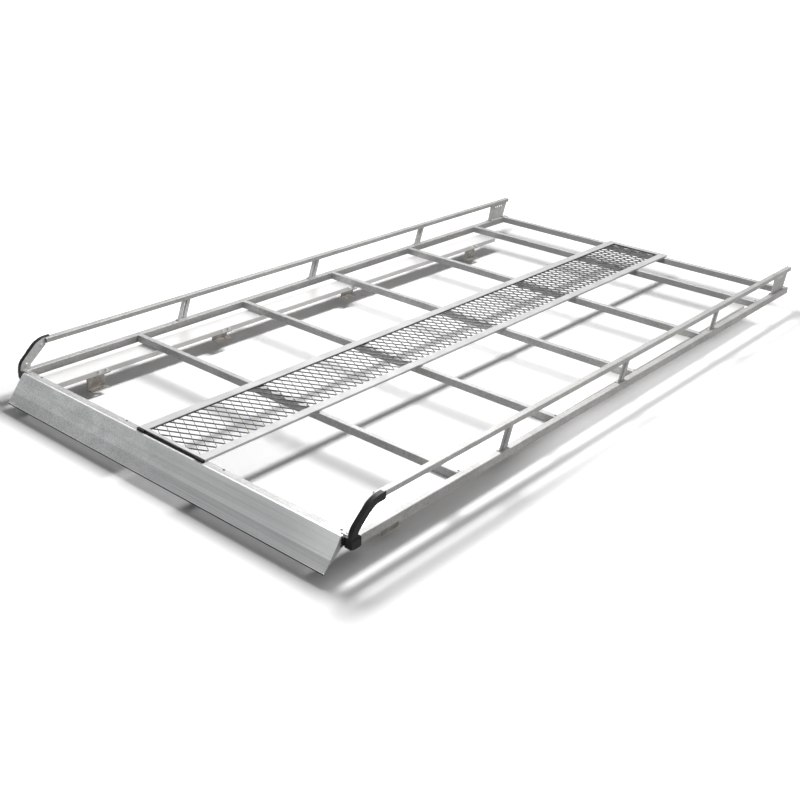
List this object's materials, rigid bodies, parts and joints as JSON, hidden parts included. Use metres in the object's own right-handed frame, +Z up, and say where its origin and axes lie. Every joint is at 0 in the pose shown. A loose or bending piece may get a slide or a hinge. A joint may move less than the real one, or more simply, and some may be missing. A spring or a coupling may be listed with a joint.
{
  "type": "roof rack",
  "caption": "Galvanised steel van roof rack with side guard rails, a wind deflector at the front and an offset expanded metal walkway, on two base rails with bolt-down feet.",
  "frame": {"origin": "on the ground plane under the feet, at the middle of the rack's outline", "axes": "+Y to the rear of the van along the rack, +X to the van's right side, +Z up"},
  "size_m": [1.486, 2.8146, 0.1805],
  "materials": {
    "galvanised_steel": "zinc coated, faint spangle",
    "mesh_steel": "zinc coated expanded metal",
    "aluminium": "mill finish, lengthwise grain",
    "foot_steel": "passivated pressed steel, brownish",
    "black_plastic": "fine grained, matte",
    "black_rubber": "matte"
  },
  "bodies": {
    "root": {"front_bar": "galvanised_steel", "wind_deflector": "aluminium", "deflector_trim": "black_rubber", "deflector_gusset_left": "aluminium", "deflector_gusset_right": "aluminium", "side_rail_left": "galvanised_steel", "side_rail_right": "galvanised_steel", "guard_rail_left": "galvanised_steel", "guard_rail_right": "galvanised_steel", "rail_plugs": "black_plastic", "upright_left_1": "galvanised_steel", "upright_left_2": "galvanised_steel", "upright_left_3": "galvanised_steel", "upright_right_1": "galvanised_steel", "upright_right_2": "galvanised_steel", "upright_right_3": "galvanised_steel", "rear_plate_left": "galvanised_steel", "rear_plate_right": "galvanised_steel", "front_post_left": "galvanised_steel", "front_post_right": "galvanised_steel", "end_cap_left": "black_plastic", "end_cap_right": "black_plastic", "crossbar_1": "galvanised_steel", "crossbar_2": "galvanised_steel", "crossbar_3": "galvanised_steel", "crossbar_4": "galvanised_steel", "crossbar_5": "galvanised_steel", "rear_bar": "galvanised_steel", "walkway_side_left": "aluminium", "walkway_side_right": "aluminium", "walkway_end_front": "aluminium", "walkway_end_rear": "aluminium", "walkway_strip": "black_plastic", "walkway_mesh_1": "mesh_steel", "walkway_mesh_2": "mesh_steel", "walkway_mesh_3": "mesh_steel", "base_rail_left": "galvanised_steel", "base_rail_right": "galvanised_steel", "foot_left_1": "foot_steel", "foot_left_2": "foot_steel", "foot_left_3": "foot_steel", "foot_left_4": "foot_steel", "foot_right_1": "foot_steel", "foot_right_2": "foot_steel", "foot_right_3": "foot_steel", "foot_right_4": "foot_steel"}
  },
  "joints": []
}
